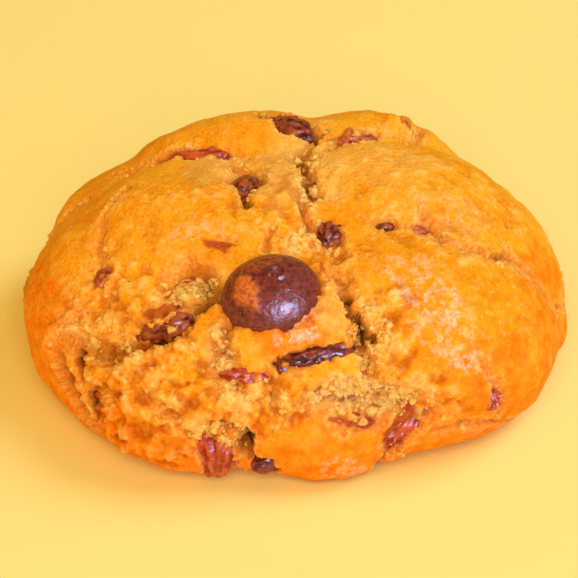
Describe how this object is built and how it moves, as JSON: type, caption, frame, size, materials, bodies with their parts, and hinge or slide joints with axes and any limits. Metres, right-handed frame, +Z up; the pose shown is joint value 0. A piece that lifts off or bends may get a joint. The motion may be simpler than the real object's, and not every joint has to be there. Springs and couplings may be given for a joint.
{
  "type": "chocolate chip cookie",
  "caption": "Thick domed cookie with a cracked golden crust and chocolate chips set in it, for display as a baked snack.",
  "frame": {"origin": "centre of the cookie's flat foot, at the middle of the bounding box", "axes": "+Z up from the foot, -Y towards the side with the large round chip, +X to the right of it"},
  "size_m": [0.065, 0.0594, 0.0248],
  "materials": {
    "dough": "baked golden cookie dough, cracked and crumbly",
    "chocolate": "milk chocolate, softly glossy"
  },
  "bodies": {
    "root": {"dough": "dough", "chip_large": "chocolate", "chip_back_rim": "chocolate", "chip_upper_left_strip": "chocolate", "chip_upper_left": "chocolate", "chip_channel_high": "chocolate", "chip_channel_low": "chocolate", "chip_right_nick": "chocolate", "chip_right_crack": "chocolate", "chip_back_right": "chocolate", "chip_far_right_rim": "chocolate", "chip_left": "chocolate", "chip_left_rim": "chocolate", "chip_left_crack": "chocolate", "chip_streak": "chocolate", "chip_crescent": "chocolate", "chip_lower_streak": "chocolate", "chip_front": "chocolate", "chip_front_foot": "chocolate", "chip_tongue_streak": "chocolate", "chip_right_foot": "chocolate", "chip_right_side": "chocolate", "chip_back_crack": "chocolate", "chip_back_low": "chocolate", "chip_back_right_crack": "chocolate", "chip_back_left": "chocolate"}
  },
  "joints": []
}
